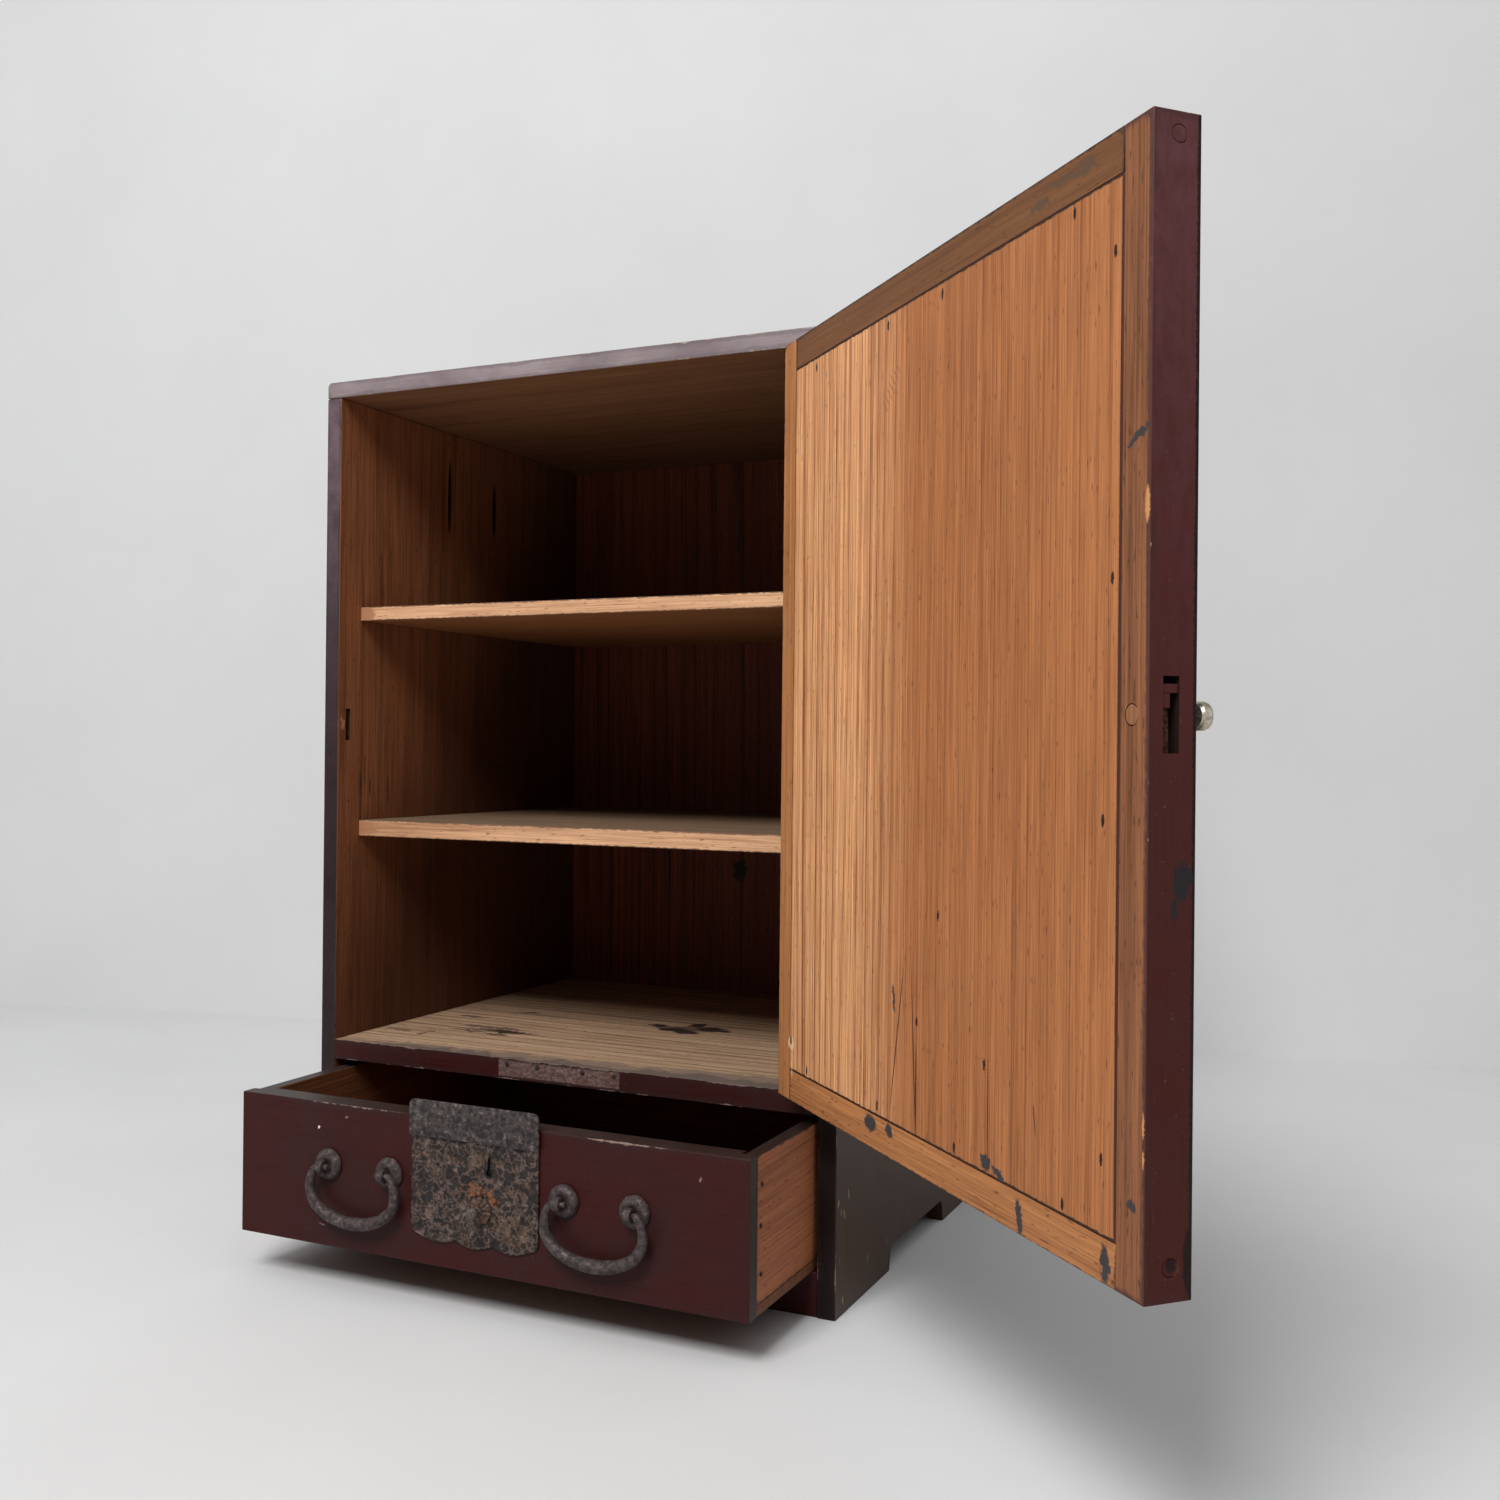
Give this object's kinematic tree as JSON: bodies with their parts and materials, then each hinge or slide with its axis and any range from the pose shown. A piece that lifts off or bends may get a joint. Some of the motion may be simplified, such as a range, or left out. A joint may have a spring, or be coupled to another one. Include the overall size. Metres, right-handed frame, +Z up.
{
  "type": "tea ceremony cabinet",
  "caption": "Small lacquered wooden cabinet: a shelved cupboard with a hinged, latched door over a lockable drawer with iron bail handles.",
  "frame": {"origin": "on the floor, at the middle of the underside of the front base rail", "axes": "+X to the right seen from the front, +Y from the front towards the back, +Z up"},
  "size_m": [0.654, 0.614, 0.6116],
  "materials": {
    "lacquer": "worn red-brown lacquer",
    "case_lacquer": "scuffed grey-brown lacquer with bare chips",
    "cedar": "bare aged cedar",
    "worn_cedar": "bare worn cedar",
    "iron": "dark pitted iron",
    "rusty_iron": "rusted iron",
    "nickel": "worn plated metal"
  },
  "bodies": {
    "carcass": {"left_side": "case_lacquer", "right_side": "case_lacquer", "top_board": "case_lacquer", "cupboard_floor": "lacquer", "bottom_board": "worn_cedar", "front_base_rail": "lacquer", "back_board_1": "cedar", "back_board_2": "cedar", "back_board_3": "cedar", "upper_shelf": "cedar", "lower_shelf": "cedar", "strike_plate": "rusty_iron", "strike_nail_1": "iron", "strike_nail_2": "iron", "strike_nail_3": "iron", "strike_nail_4": "iron", "lower_hinge_case_leaf": "iron", "upper_hinge_case_leaf": "iron", "lower_hinge_pin": "iron", "upper_hinge_pin": "iron"},
    "door": {"door_lock_stile": "lacquer", "door_hinge_stile": "lacquer", "door_top_rail": "lacquer", "door_bottom_rail": "lacquer", "door_front_panel": "lacquer", "door_lining_free": "cedar", "door_lining_middle": "cedar", "door_lining_hinge": "cedar", "spindle_plug": "cedar", "edge_plug_top": "lacquer", "edge_plug_bottom": "lacquer", "lower_hinge_door_leaf": "iron", "upper_hinge_door_leaf": "iron"},
    "latch": {"knob_collar": "iron", "knob_head": "nickel", "latch_spindle": "iron", "latch_tongue": "rusty_iron"},
    "drawer": {"drawer_front": "lacquer", "drawer_left_side": "cedar", "drawer_right_side": "cedar", "drawer_back": "cedar", "drawer_bottom": "worn_cedar", "lock_plate": "iron", "lock_plate_cap": "iron", "lock_case": "iron", "left_handle_left_post": "iron", "left_handle_right_post": "iron", "right_handle_left_post": "iron", "right_handle_right_post": "iron", "left_handle_left_washer": "iron", "left_handle_right_washer": "iron", "right_handle_left_washer": "iron", "right_handle_right_washer": "iron"},
    "bolt": {"lock_bolt": "iron", "lock_knob": "iron", "lock_rosette": "iron"},
    "left_handle": {"left_bail": "iron"},
    "right_handle": {"right_bail": "iron"}
  },
  "joints": [
    {"name": "door_swing", "type": "hinge", "parent": "carcass", "child": "door", "pos_m": [0.1866, -0.0114, 0.1408], "axis": [0, 0, 1], "range_deg": [-135.55, 44.45]},
    {"name": "latch_turn", "type": "hinge", "parent": "door", "child": "latch", "pos_m": [0.44128, -0.26572, 0.3648], "axis": [-0.7003, -0.7139, 0], "range_deg": [0, 90]},
    {"name": "drawer_slide", "type": "slide", "parent": "carcass", "child": "drawer", "axis": [0, -1, 0], "range_m": [-0.0936, 0.12]},
    {"name": "bolt_slide", "type": "slide", "parent": "drawer", "child": "bolt", "axis": [0, 0, 1], "range_m": [0, 0.006]},
    {"name": "left_handle_swing", "type": "hinge", "parent": "drawer", "child": "left_handle", "pos_m": [-0.088, -0.1104, 0.081], "axis": [-1, 0, 0], "range_deg": [-5, 185]},
    {"name": "right_handle_swing", "type": "hinge", "parent": "drawer", "child": "right_handle", "pos_m": [0.088, -0.1104, 0.081], "axis": [-1, 0, 0], "range_deg": [-5, 185]}
  ]
}
